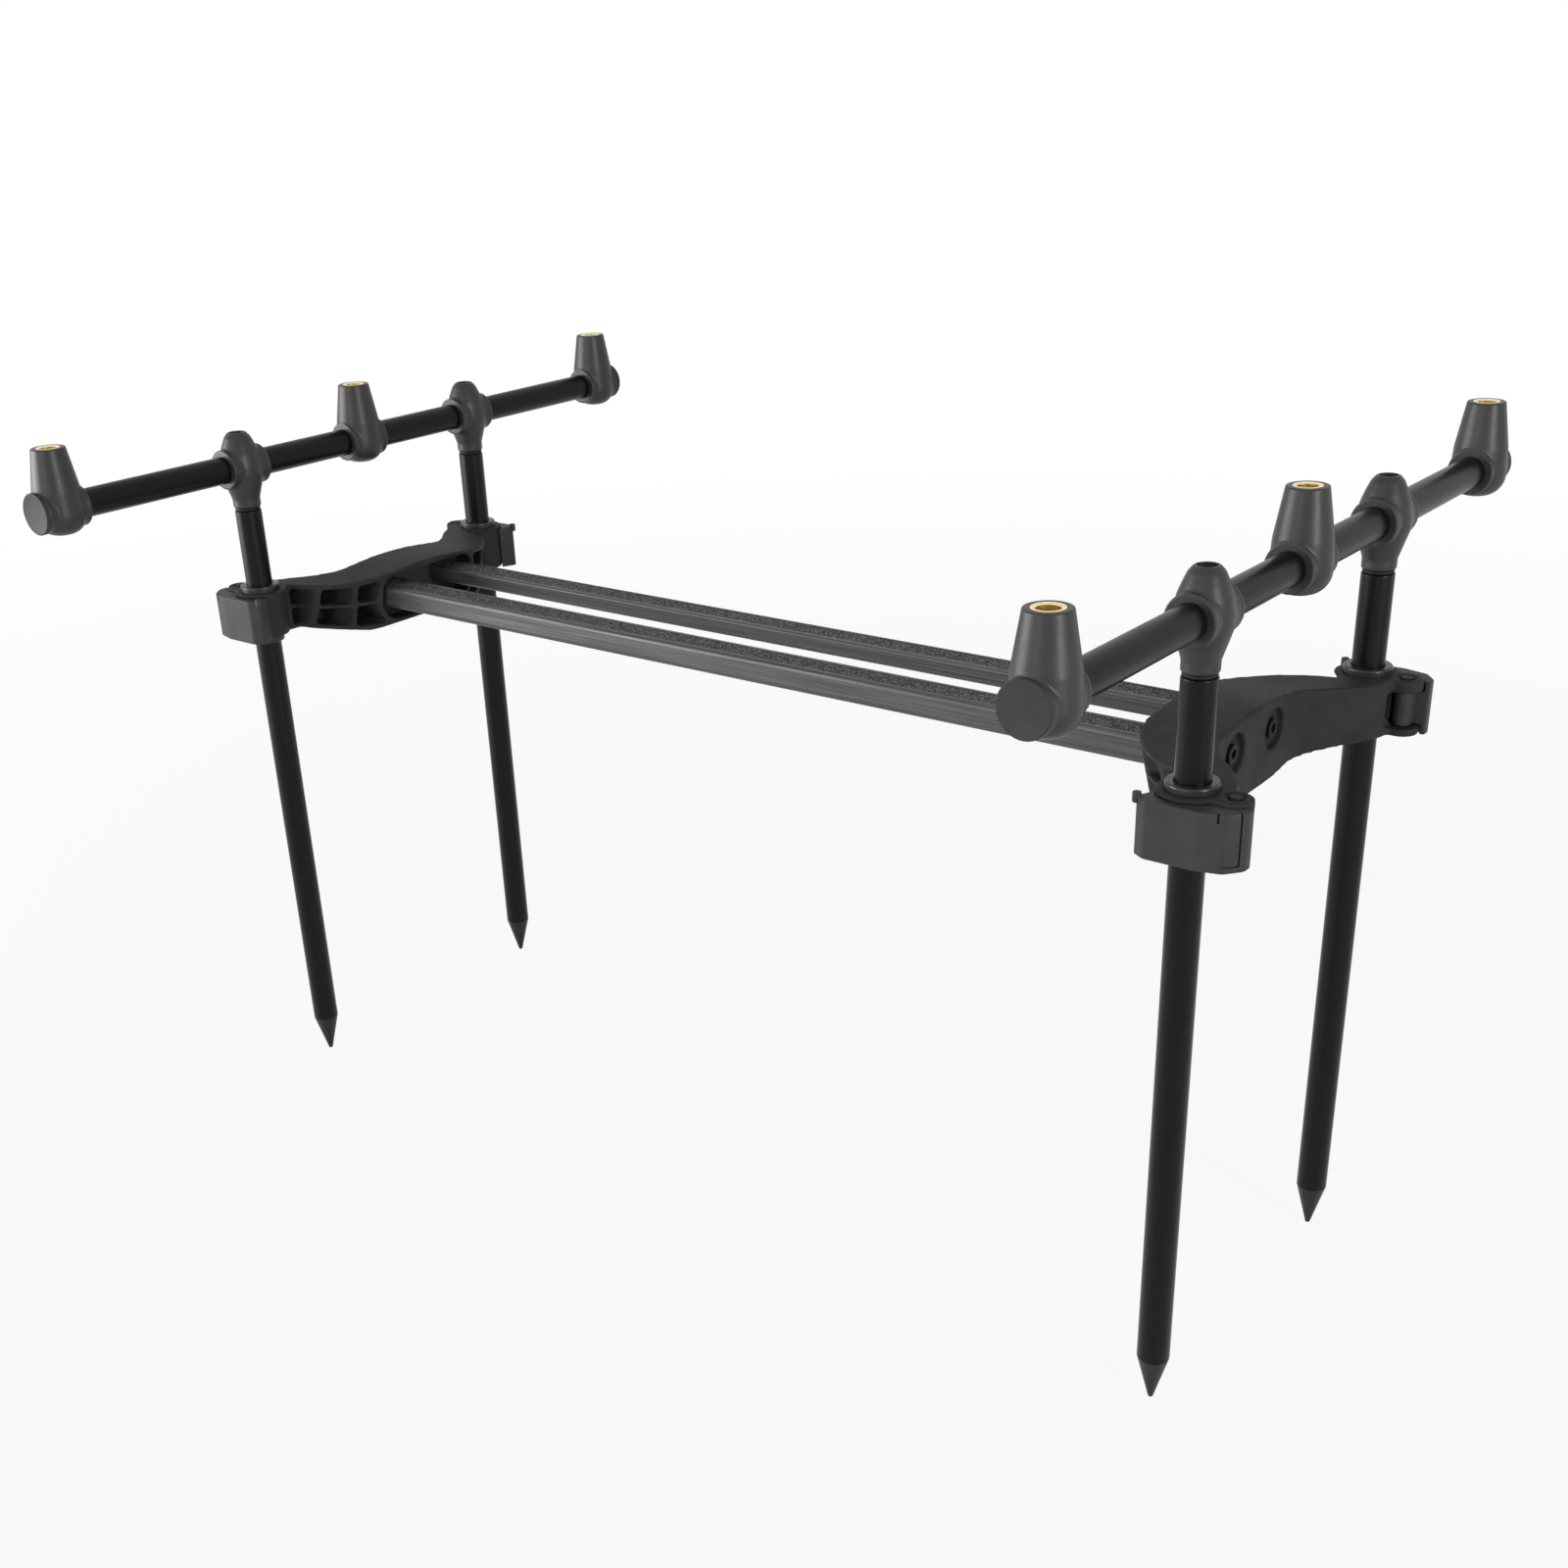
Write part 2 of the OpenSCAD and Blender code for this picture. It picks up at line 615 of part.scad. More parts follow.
module rod_socket(end, place) color("#3b3c3f") at_socket(end, place) difference() {
    union() {
        rotate_extrude() polygon(rounded([[0, -socket_bowl], [socket_r, -socket_bowl], [socket_r, -2],
            [shoulder_d / 2, shoulder_rise], [socket_top_d / 2, socket_rise], [0, socket_rise]],
            [0, 10.5, 8, 40, 0.7, 0]));
        sleeve();
    }
    rest_bore();
    translate([0, 0, socket_rise - insert_len]) cylinder(d = insert_d + 2 * seat_gap, h = insert_len + 1);
}

module brass_inserts(end) color("#c9a24e")
    for (place = [left, 0, right])
        at_socket(end, place) rotate_extrude() polygon([[thread_d / 2, socket_rise - insert_len],
            [insert_d / 2, socket_rise - insert_len], [insert_d / 2, socket_rise],
            [thread_d / 2 + thread_chamfer, socket_rise], [thread_d / 2, socket_rise - thread_chamfer]]);

module end_caps(end) color("#404144") at_end(end)
    for (side = [left, right])
        on_side(side) translate([0, rest_half, rest_z]) {
            rod_y(sleeve_r + cap_rim, 0, cap_t);
            rod_y(tube_in - seat_gap, -cap_plug, cap_t);
        }

bracket(front);  // bracket_front
bracket(rear);  // bracket_rear
main_bar(left);  // main_bar_left
main_bar(right);  // main_bar_right
bar_strip(left);  // bar_strip_left
bar_strip(right);  // bar_strip_right
bar_plugs(front);  // bar_plugs_front
bar_plugs(rear);  // bar_plugs_rear
bar_bolts(front);  // bar_bolts_front
bar_bolts(rear);  // bar_bolts_rear
leg_bush(front, left);  // leg_bush_front_left
leg_bush(front, right);  // leg_bush_front_right
leg_bush(rear, left);  // leg_bush_rear_left
leg_bush(rear, right);  // leg_bush_rear_right
clamp_shoe(front, left);  // clamp_shoe_front_left
clamp_shoe(front, right);  // clamp_shoe_front_right
clamp_shoe(rear, left);  // clamp_shoe_rear_left
clamp_shoe(rear, right);  // clamp_shoe_rear_right
lever_pin(front, left);  // lever_pin_front_left
lever_pin(front, right);  // lever_pin_front_right
lever_pin(rear, left);  // lever_pin_rear_left
lever_pin(rear, right);  // lever_pin_rear_right
cam_lever(front, left);  // cam_lever_front_left
cam_lever(front, right);  // cam_lever_front_right
cam_lever(rear, left);  // cam_lever_rear_left
cam_lever(rear, right);  // cam_lever_rear_right
leg_tube(front, left);  // leg_tube_front_left
leg_tube(front, right);  // leg_tube_front_right
leg_tube(rear, left);  // leg_tube_rear_left
leg_tube(rear, right);  // leg_tube_rear_right
spike(front, left);  // spike_front_left
spike(front, right);  // spike_front_right
spike(rear, left);  // spike_rear_left
spike(rear, right);  // spike_rear_right
tee_socket(front, left);  // tee_socket_front_left
tee_socket(front, right);  // tee_socket_front_right
tee_socket(rear, left);  // tee_socket_rear_left
tee_socket(rear, right);  // tee_socket_rear_right
leg_spigots(front);  // leg_spigots_front
leg_spigots(rear);  // leg_spigots_rear
leg_rings(front);  // leg_rings_front
leg_rings(rear);  // leg_rings_rear
tee_screws(front);  // tee_screws_front
tee_screws(rear);  // tee_screws_rear
rest_bar(front);  // rest_bar_front
rest_bar(rear);  // rest_bar_rear
rod_socket(front, left);  // rod_socket_front_left
rod_socket(front, 0);  // rod_socket_front_middle
rod_socket(front, right);  // rod_socket_front_right
rod_socket(rear, left);  // rod_socket_rear_left
rod_socket(rear, 0);  // rod_socket_rear_middle
rod_socket(rear, right);  // rod_socket_rear_right
brass_inserts(front);  // brass_inserts_front
brass_inserts(rear);  // brass_inserts_rear
end_caps(front);  // end_caps_front
end_caps(rear);  // end_caps_rear
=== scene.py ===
# %% [markdown]
# # A rod pod, dressed around its frame
# A rod pod is a stand that holds fishing rods over the bank. The frame below is the finished construction
# at its real size, in metres: every bracket, tube and screw is an object already. This lesson adds what a
# drawing board leaves out: soft moulded edges, cut threads, pebbled rubber, and a finish for each material.

# %% Load the frame
import bpy
import json
import math
from mathutils import Matrix, Vector


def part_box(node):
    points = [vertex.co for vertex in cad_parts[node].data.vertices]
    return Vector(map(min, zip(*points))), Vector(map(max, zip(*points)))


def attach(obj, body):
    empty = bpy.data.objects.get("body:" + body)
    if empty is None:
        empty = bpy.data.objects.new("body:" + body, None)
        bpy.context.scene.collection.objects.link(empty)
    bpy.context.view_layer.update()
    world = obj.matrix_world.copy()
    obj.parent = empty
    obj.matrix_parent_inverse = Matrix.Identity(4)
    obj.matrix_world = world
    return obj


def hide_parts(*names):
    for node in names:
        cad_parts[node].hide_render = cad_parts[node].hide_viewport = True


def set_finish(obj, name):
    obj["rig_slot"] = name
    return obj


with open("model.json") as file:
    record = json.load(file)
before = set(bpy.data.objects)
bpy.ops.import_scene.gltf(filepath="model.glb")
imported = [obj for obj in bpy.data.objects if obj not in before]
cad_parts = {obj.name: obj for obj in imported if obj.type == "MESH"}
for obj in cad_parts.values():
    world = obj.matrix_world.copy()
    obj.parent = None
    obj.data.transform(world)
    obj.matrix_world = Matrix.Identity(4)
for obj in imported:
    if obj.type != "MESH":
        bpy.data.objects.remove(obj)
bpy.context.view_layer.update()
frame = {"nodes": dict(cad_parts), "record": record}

# %% [markdown]
# ## Camera
# The pod was looked down on from its front right corner, from about a metre away, so the near rest bar
# looms and the far one shrinks. A camera could be placed by eye, but with a lens this close a few degrees
# show. Here its place, its turn and its lens were worked out from the legs and sockets, and are written as
# plain numbers. The picture was cropped off centre, and a small lens shift does the same.

# %% Work out which way the camera looks
VIEW_TURN = math.radians(40.68)
VIEW_DROP = math.radians(25.76)
VIEW_ROLL = math.radians(-2.93)

right = Vector((math.cos(VIEW_TURN), math.sin(VIEW_TURN), 0))
back = Vector((math.sin(VIEW_TURN) * math.cos(VIEW_DROP), -math.cos(VIEW_TURN) * math.cos(VIEW_DROP),
               math.sin(VIEW_DROP)))
up = back.cross(right)
rolled_right = math.cos(VIEW_ROLL) * right + math.sin(VIEW_ROLL) * up
rolled_up = math.cos(VIEW_ROLL) * up - math.sin(VIEW_ROLL) * right
camera_axes = Matrix((rolled_right, rolled_up, back)).transposed()
print("the camera looks along", [round(-part, 3) for part in back])

# %% Set up the camera
PICTURE = 1600
VIEW_PLACE = Vector((0.6425, -0.7910, 0.6227))
FOCAL_PIXELS = 1912.5
OPTICAL_MIDDLE = (730, 960)
SENSOR = 36
NEAREST = 0.01

bpy.ops.object.select_all(action="DESELECT")
bpy.ops.object.camera_add()
camera = bpy.context.object
camera.name = "photo_camera"
camera.matrix_world = Matrix.Translation(VIEW_PLACE) @ camera_axes.to_4x4()
camera.data.sensor_width = SENSOR
camera.data.lens = FOCAL_PIXELS / PICTURE * SENSOR
camera.data.shift_x = 0.5 - OPTICAL_MIDDLE[0] / PICTURE
camera.data.shift_y = OPTICAL_MIDDLE[1] / PICTURE - 0.5
camera.data.clip_start = NEAREST
bpy.context.scene.camera = camera
print("camera: lens", round(camera.data.lens, 1), "mm, shift", round(camera.data.shift_x, 3),
      round(camera.data.shift_y, 3))

# %% [markdown]
# ## Tools of the bench
# Every piece below is made in the same few moves: pick one object, shape it, finish it with a modifier
# that is applied at once, and copy it to where the frame wants it. A modifier left live would do as well
# on screen, but an applied one leaves a plain mesh that any other program can read.


# %% Selecting and finishing
def only(piece):
    """Make this the one selected, active object."""
    bpy.ops.object.select_all(action="DESELECT")
    piece.select_set(True)
    bpy.context.view_layer.objects.active = piece


def edit_all(piece):
    """Open a piece in edit mode, with all of it selected."""
    only(piece)
    bpy.ops.object.mode_set(mode="EDIT")
    bpy.ops.mesh.select_all(action="SELECT")


def finish_with(piece, kind, **settings):
    """Add a modifier, set it up and apply it."""
    only(piece)
    modifier = piece.modifiers.new(kind.title(), kind)
    for name, value in settings.items():
        setattr(modifier, name, value)
    bpy.ops.object.modifier_apply(modifier=modifier.name)


def settle(piece):
    """Move an object's place, turn and scale into its mesh."""
    only(piece)
    bpy.ops.object.transform_apply(location=True, rotation=True, scale=True)


CREASE = 40


def smooth_shade(piece, crease=CREASE):
    """Shade a piece smooth, except across edges that turn by more than the crease, in degrees."""
    only(piece)
    bpy.ops.object.shade_smooth_by_angle(angle=math.radians(crease))


print("finishing tools ready: an edge shows from", CREASE, "degrees")


# %% Naming, copying and joining
def rename(piece, name):
    """Give an object and its mesh one name."""
    piece.name = name
    piece.data.name = name
    return piece


def copy_to(piece, name, place=(0, 0, 0), turn=0.0, mirror=False):
    """A copy with its own mesh, turned about Z, mirrored in Y if asked, and moved into place."""
    only(piece)
    bpy.ops.object.duplicate()
    twin = rename(bpy.context.object, name)
    twin.scale = (1, -1 if mirror else 1, 1)
    twin.rotation_euler = (0, 0, turn)
    twin.location = place
    settle(twin)
    if mirror:
        edit_all(twin)
        bpy.ops.mesh.normals_make_consistent(inside=False)
        bpy.ops.object.mode_set(mode="OBJECT")
    return twin


def join(group, name):
    """Several objects made one."""
    only(group[0])
    for piece in group[1:]:
        piece.select_set(True)
    if len(group) > 1:
        bpy.ops.object.join()
    return rename(bpy.context.object, name)


print("copying tools ready")

# %% [markdown]
# ## Lathe
# Most of the small parts of the pod are round, and were turned or moulded round. A lathe profile could be
# spun in one go; drawing it ring by ring from a circle, extruding and resizing, is the same thing by hand
# and lets every ring be a size with a reason.

# %% Turning round pieces
ROUND = 64
FINE_ROUND = 96
MERGE = 1e-6


def arc(centre, radius, start, stop, steps=8):
    """Rings along a round stretch of a profile: (radius, height) pairs between two angles in degrees."""
    turns = [math.radians(start + (stop - start) * i / steps) for i in range(steps + 1)]
    return [(centre[0] + radius * math.cos(t), centre[1] + radius * math.sin(t)) for t in turns]


def turned(name, rings, segments=ROUND, hollow=False):
    """A round piece about Z, drawn ring by ring; a hollow one ends on its first ring and closes there."""
    bpy.ops.object.select_all(action="DESELECT")
    radius, height = rings[0]
    bpy.ops.mesh.primitive_circle_add(vertices=segments, radius=radius, location=(0, 0, height),
                                      fill_type="NOTHING" if hollow else "NGON")
    piece = rename(bpy.context.object, name)
    settle(piece)
    edit_all(piece)
    for new_radius, new_height in rings[1:]:
        bpy.ops.mesh.extrude_region_move(TRANSFORM_OT_translate={"value": (0, 0, new_height - height)})
        grow = new_radius / radius
        bpy.ops.transform.resize(value=(grow, grow, 1), center_override=(0, 0, new_height))
        radius, height = new_radius, new_height
    bpy.ops.mesh.select_all(action="SELECT")
    bpy.ops.mesh.remove_doubles(threshold=MERGE)
    bpy.ops.mesh.normals_make_consistent(inside=False)
    bpy.ops.object.mode_set(mode="OBJECT")
    return piece


print("lathe ready:", ROUND, "or", FINE_ROUND, "sides to a ring")


# %% Laying down and cutting
def lay_along_y(piece):
    """Tip an upright piece over, so that its axis lies along the rest bar."""
    piece.rotation_euler = (-math.pi / 2, 0, 0)
    settle(piece)
    return piece


def cut(piece, cutter):
    """Take the cutter's shape out of a piece."""
    finish_with(piece, "BOOLEAN", operation="DIFFERENCE", object=cutter, solver="EXACT")
    bpy.data.objects.remove(cutter)


print("cutting tools ready")

# %% [markdown]
# ## Moulded sockets
# The rod sockets are single mouldings: a cone that takes a rod rest, grown together with a sleeve round
# the rest bar. A union of the two solids has a knife-sharp seam, which no mould has. A bevel along the
# seam could soften it, but it fails where the seam runs out to nothing. So both solids are fused into one
# skin of small squares, and smoothing that skin rounds every edge and fills the seam like a mould's
# fillet. The bore of the tube is cut afterwards, because it has to stay crisp.

# %% Fusing and easing
SKIN = 0.00045
EASING = 0.5
SOCKET_PASSES = 8


def moulded(solids, name, skin=SKIN, passes=SOCKET_PASSES):
    """Fuse overlapping solids into one skin, and ease its edges."""
    body = join(solids, name)
    finish_with(body, "REMESH", mode="VOXEL", voxel_size=skin)
    finish_with(body, "SMOOTH", factor=EASING, iterations=passes)
    smooth_shade(body)
    return body


print("skin squares of", SKIN * 1000, "mm")

# %% Read the sizes of the rest bar and its sockets from the frame
bar_low, bar_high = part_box("rest_bar_front")
socket_low, socket_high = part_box("rod_socket_front_middle")
insert_low, insert_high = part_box("brass_inserts_front")
cap_low, cap_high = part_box("end_caps_front")
END_X = (bar_low.x + bar_high.x) / 2
REST_Z = (bar_low.z + bar_high.z) / 2
TUBE_R = (bar_high.x - bar_low.x) / 2
SOCKET_R = (socket_high.x - socket_low.x) / 2
SOCKET_TOP = socket_high.z - REST_Z
SOCKET_BOTTOM = socket_low.z - REST_Z
SLEEVE_HALF = (socket_high.y - socket_low.y) / 2
SLEEVE_R = (cap_high.x - cap_low.x) / 2
SOCKET_Y = bar_high.y - SLEEVE_HALF
INSERT_R = (insert_high.x - insert_low.x) / 2
INSERT_LOW = insert_low.z - REST_Z
print("socket", round(SOCKET_R * 2000, 1), "mm wide, sleeve", round(SLEEVE_R * 2000, 1), "mm")

# %% Make the sleeve round the bar and the cutter for its bore
LIP = 0.0003
LIP_LONG = 0.002
FIT = 0.00002


def sleeve():
    """The round sleeve that a socket has round the rest bar, with a thin lip at each end."""
    lip_in = SLEEVE_HALF - LIP_LONG
    rings = [(SLEEVE_R, -SLEEVE_HALF), (SLEEVE_R, -lip_in), (SLEEVE_R - LIP, -lip_in),
             (SLEEVE_R - LIP, lip_in), (SLEEVE_R, lip_in), (SLEEVE_R, SLEEVE_HALF)]
    return lay_along_y(turned("sleeve", rings))


def bar_bore():
    """A cutter for the rest bar's bore, twice as long as the sleeve."""
    bore_r = TUBE_R + FIT
    return lay_along_y(turned("bore", [(bore_r, -2 * SLEEVE_HALF), (bore_r, 2 * SLEEVE_HALF)], FINE_ROUND))


print("sleeve", round(SLEEVE_HALF * 2000, 1), "mm long")

# %% Model one rod socket
SOCKET_TOP_R = 0.0095
BOWL_BEND = 0.0105
BOWL_START = -88
CONE_FOOT = -0.002
SHOULDER_R = 0.0133
SHOULDER_RISE = 0.011
PAST = 0.01

bowl = arc((SOCKET_R - BOWL_BEND, SOCKET_BOTTOM + BOWL_BEND), BOWL_BEND, BOWL_START, 0)
rings = bowl + [(SOCKET_R, CONE_FOOT), (SHOULDER_R, SHOULDER_RISE), (SOCKET_TOP_R, SOCKET_TOP)]
rod_socket = moulded([turned("cone", rings), sleeve()], "socket_pattern")
cut(rod_socket, bar_bore())
seat = [(INSERT_R + FIT, INSERT_LOW), (INSERT_R + FIT, SOCKET_TOP + PAST)]
cut(rod_socket, turned("seat", seat, FINE_ROUND))
print("rod socket:", len(rod_socket.data.polygons), "faces")

# %% Hand a piece to the frame
slot_of = {sub["node"]: sub["material_slot"] for sub in frame["record"]["subparts"]}
pieces = {}


def fit(piece, body, node):
    """A piece rides on a body, and takes the place of a frame node and that node's slot."""
    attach(piece, body)
    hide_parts(node)
    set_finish(piece, slot_of[node])
    pieces[piece.name] = piece


print("slots:", len(set(slot_of.values())))

# %% Set the six rod sockets on their bars
END_SIGN = {"front": 1, "rear": -1}
PLACE_SIGN = {"left": 1, "middle": 0, "right": -1}


def on_bar(end, across):
    """A point on the axis of one end's rest bar, so far across the pod from its middle."""
    return Vector((END_SIGN[end] * END_X, across, REST_Z))


for end in END_SIGN:
    for place, sign in PLACE_SIGN.items():
        piece = copy_to(rod_socket, f"moulded_socket_{end}_{place}", on_bar(end, sign * SOCKET_Y))
        fit(piece, f"{end}_frame", f"rod_socket_{end}_{place}")
bpy.data.objects.remove(rod_socket)
print("rod sockets:", len(pieces))

# %% [markdown]
# ## Tee sockets
# Where a leg meets the rest bar, the moulding closes over the bar in a dome, and narrows below it to the
# width of the leg. It could be carved from one block, but the same two solids make it: a turned body and a
# sleeve. Its top is drilled for the screw that pulls the leg up, and that recess is cut last so that its
# edge stays sharp.

# %% Read the sizes of a tee socket and its screw
tee_low, tee_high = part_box("tee_socket_front_left")
SCREW_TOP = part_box("tee_screws_front")[1].z - REST_Z
TEE_R = (tee_high.x - tee_low.x) / 2
TEE_TOP = tee_high.z - REST_Z
TEE_FOOT = tee_low.z - REST_Z
LEG_Y = (tee_low.y + tee_high.y) / 2
print("tee socket", round(TEE_R * 2000, 1), "mm wide, legs", round(LEG_Y * 2000, 1), "mm apart")

# %% Model one tee socket
NECK_STEP = 0.0003
NECK_LONG = 0.005
FLARE_TOP = -0.004
CHEEK = 0.001
DOME = ((0.9, 0.4), (0.76, 0.64), (0.6, 0.87), (0.42, 1.0))
TEE_PASSES = 14
SCREW_RECESS_R = 0.0045
SCREW_SEAT = 0.0034

neck_r = TUBE_R + NECK_STEP
rings = [(neck_r, TEE_FOOT), (neck_r, TEE_FOOT + NECK_LONG), (TEE_R, FLARE_TOP), (TEE_R, CHEEK)]
rings += [(wide * TEE_R, tall * TEE_TOP) for wide, tall in DOME]
tee_socket = moulded([turned("dome", rings), sleeve()], "tee_pattern", passes=TEE_PASSES)
cut(tee_socket, bar_bore())
recess = [(SCREW_RECESS_R, SCREW_TOP - SCREW_SEAT), (SCREW_RECESS_R, TEE_TOP + PAST)]
cut(tee_socket, turned("recess", recess))
print("tee socket:", len(tee_socket.data.polygons), "faces")

# %% Set the four tee sockets on their bars
SIDES = ("left", "right")

for end in END_SIGN:
    for side in SIDES:
        piece = copy_to(tee_socket, f"moulded_tee_{end}_{side}", on_bar(end, PLACE_SIGN[side] * LEG_Y))
        fit(piece, f"{end}_frame", f"tee_socket_{end}_{side}")
bpy.data.objects.remove(tee_socket)
print("pieces so far:", len(pieces))

# %% [markdown]
# ## End brackets
# Each end of the pod is one large moulding in fibre-filled plastic: an arm between two leg bosses, hollow
# and ribbed inside, with a deep middle that holds the two bars. Its shape in the frame is right, but every
# edge of it is sharp. A bevel would be the usual answer; on a shape with this many cuts it meets itself.
# The same skin of small squares, eased a few times, gives the whole bracket the soft edges of its mould.


# %% Take a cast of a frame node
def cast_of(node, name):
    """A new object with a copy of a node's mesh, its loose triangles merged into a closed skin."""
    piece = rename(bpy.data.objects.new(name, frame["nodes"][node].data.copy()), name)
    bpy.context.scene.collection.objects.link(piece)
    edit_all(piece)
    bpy.ops.mesh.remove_doubles(threshold=MERGE)
    bpy.ops.object.mode_set(mode="OBJECT")
    return piece


BRACKET_SKIN = 0.00085
BRACKET_PASSES = 10

cast = cast_of("bracket_front", "bracket_pattern")
bracket = moulded([cast], "bracket_pattern", BRACKET_SKIN, BRACKET_PASSES)
print("bracket:", len(bracket.data.polygons), "faces")

# %% Set the two brackets
TURNED_ROUND = math.pi

for end, turn in (("front", 0.0), ("rear", TURNED_ROUND)):
    piece = copy_to(bracket, f"moulded_bracket_{end}", turn=turn)
    fit(piece, "chassis", f"bracket_{end}")
bpy.data.objects.remove(bracket)
print("pieces so far:", len(pieces))

# %% [markdown]
# ## Cam levers
# A lever wraps round the outside of each boss, and its hub is an eccentric that pushes a shoe against the
# leg. A bevel would reach its outer edges only; the skin of small squares also eases the hollow where the
# wrap runs into the hub. It is a small moulding, so its squares are less than half the size of the
# bracket's. Where its face laps over the ears of the boss, a thin line runs down the end and along the
# foot, and there is a short slit at the top edge. They are narrower than the easing would leave, so they
# are cut afterwards.

# %% Model one lever
LEVER_SKIN = 0.0004
LEVER_PASSES = 6
LUG_RISE = 0.0018

lever_low, lever_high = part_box("cam_lever_front_right")
LEVER_TOP = lever_high.z - LUG_RISE
cast = cast_of("cam_lever_front_right", "lever_pattern")
lever = moulded([cast], "lever_pattern", LEVER_SKIN, LEVER_PASSES)
print("lever:", len(lever.data.polygons), "faces,", round((LEVER_TOP - lever_low.z) * 1000, 1), "mm tall")

# %% Cut the lap line and the slit in its face
# The ways that the end and the side of the lever face, in degrees
END_FACE = 39.4
SIDE_FACE = 75.9
# Spots on them: how far out from the leg's axis along the pod, and across it
END_LINE = (0.0284, 0.0112)
FOOT_LINE = (0.0255, 0.0148)
SLIT = (0.0207, 0.0175)
FOOT_LINE_LONG = 0.0095
FOOT_RISE = 0.0028
LINE_WIDE = 0.0008
LINE_DEEP = 0.0011
LINE_PAST = 0.001
SLIT_WIDE = 0.0009
SLIT_DEEP = 0.002
SLIT_LONG = 0.0042


def face_cutter(name, spot, face, wide, deep, low, high):
    """A thin upright block at a spot beside the front right leg, turned square to a face."""
    bpy.ops.object.select_all(action="DESELECT")
    middle = (END_X + spot[0], -LEG_Y - spot[1], (low + high) / 2)
    bpy.ops.mesh.primitive_cube_add(size=1, location=middle, rotation=(0, 0, -math.radians(face)))
    cutter = rename(bpy.context.object, name)
    cutter.scale = (2 * deep, wide, high - low)
    settle(cutter)
    return cutter


foot = lever_low.z + FOOT_RISE
top = LEVER_TOP + LINE_PAST
cut(lever, face_cutter("end_line", END_LINE, END_FACE, LINE_WIDE, LINE_DEEP, foot, top))
cut(lever, face_cutter("foot_line", FOOT_LINE, END_FACE, FOOT_LINE_LONG, LINE_DEEP, foot, foot + LINE_WIDE))
cut(lever, face_cutter("slit", SLIT, SIDE_FACE, SLIT_WIDE, SLIT_DEEP, LEVER_TOP - SLIT_LONG, top))
print("lever with its lines:", len(lever.data.polygons), "faces")

# %% Set the four levers
LEVERS = {"front_right": (0.0, False), "front_left": (0.0, True), "rear_left": (TURNED_ROUND, False),
          "rear_right": (TURNED_ROUND, True)}

for corner, (turn, mirror) in LEVERS.items():
    piece = copy_to(lever, f"moulded_lever_{corner}", turn=turn, mirror=mirror)
    fit(piece, f"lever_{corner}", f"cam_lever_{corner}")
bpy.data.objects.remove(lever)
print("pieces so far:", len(pieces))

# %% [markdown]
# ## End caps
# A cap is a disc with a stub that presses into the end of the rest bar. Two cylinders would give its size,
# but no rim for the light to run along. It is turned like a lathe piece instead: the stub, the disc with
# its rim rounded over, and a face dished by a tenth of a millimetre, as a moulded disc sinks a little
# while it cools.

# %% Turn one cap
TUBE_WALL = 0.0015
STUB_LEN = 0.009
CAP_ROUND = 0.0005
CAP_MIDDLE = 0.001
DISH = 0.00012
CAP_T = cap_high.y - bar_high.y
STUB_R = TUBE_R - TUBE_WALL - FIT

rings = [(STUB_R - CAP_ROUND, -STUB_LEN), (STUB_R, CAP_ROUND - STUB_LEN), (STUB_R, FIT), (SLEEVE_R, FIT)]
rings += arc((SLEEVE_R - CAP_ROUND, CAP_T - CAP_ROUND), CAP_ROUND, 0, 90, steps=5)
rings += [(SLEEVE_R - 2 * CAP_ROUND, CAP_T), (SLEEVE_R - 3 * CAP_ROUND, CAP_T - DISH),
          (CAP_MIDDLE, CAP_T - DISH)]
cap = lay_along_y(turned("cap_pattern", rings, FINE_ROUND))
smooth_shade(cap)
print("caps", round(CAP_T * 1000, 2), "mm thick")

# %% Set a pair of caps on each bar
for end in END_SIGN:
    pair = [copy_to(cap, "cap", on_bar(end, bar_high.y)),
            copy_to(cap, "cap", on_bar(end, -bar_high.y), TURNED_ROUND)]
    piece = join(pair, f"pressed_caps_{end}")
    fit(piece, f"{end}_frame", f"end_caps_{end}")
bpy.data.objects.remove(cap)
print("pieces so far:", len(pieces))

# %% [markdown]
# ## Brass inserts
# A rod rest screws into a brass bush in the top of its socket, with the three-eighths thread that rod
# rests share. A picture of a thread would do from afar, but the near sockets are looked into. So the bush
# is turned, and its thread is a real ridge: a three-sided section swept round and up by the Screw
# modifier, with its root buried in the wall of the bush.

# %% Turn the bush
THREAD_R = 0.00475
MOUTH = 0.0006
INSERT_EDGE = MOUTH / 3
INSERT_ROUND = 72
INSERT_TOP = insert_high.z - REST_Z

rings = [(THREAD_R, INSERT_LOW), (THREAD_R, INSERT_TOP - MOUTH), (THREAD_R + MOUTH, INSERT_TOP),
         (INSERT_R - INSERT_EDGE, INSERT_TOP), (INSERT_R, INSERT_TOP - INSERT_EDGE), (INSERT_R, INSERT_LOW),
         (THREAD_R, INSERT_LOW)]
bush = turned("bush", rings, INSERT_ROUND, hollow=True)
print("bush", round((INSERT_TOP - INSERT_LOW) * 1000, 1), "mm long")

# %% Wind the thread and join it to the bush
PITCH = 0.00127
THREAD_DEPTH = 0.0004
RIDGE_R = THREAD_R - THREAD_DEPTH / 3
SPARE_TURNS = 3
THREAD_STEPS = 32
THREAD_CREASE = 30

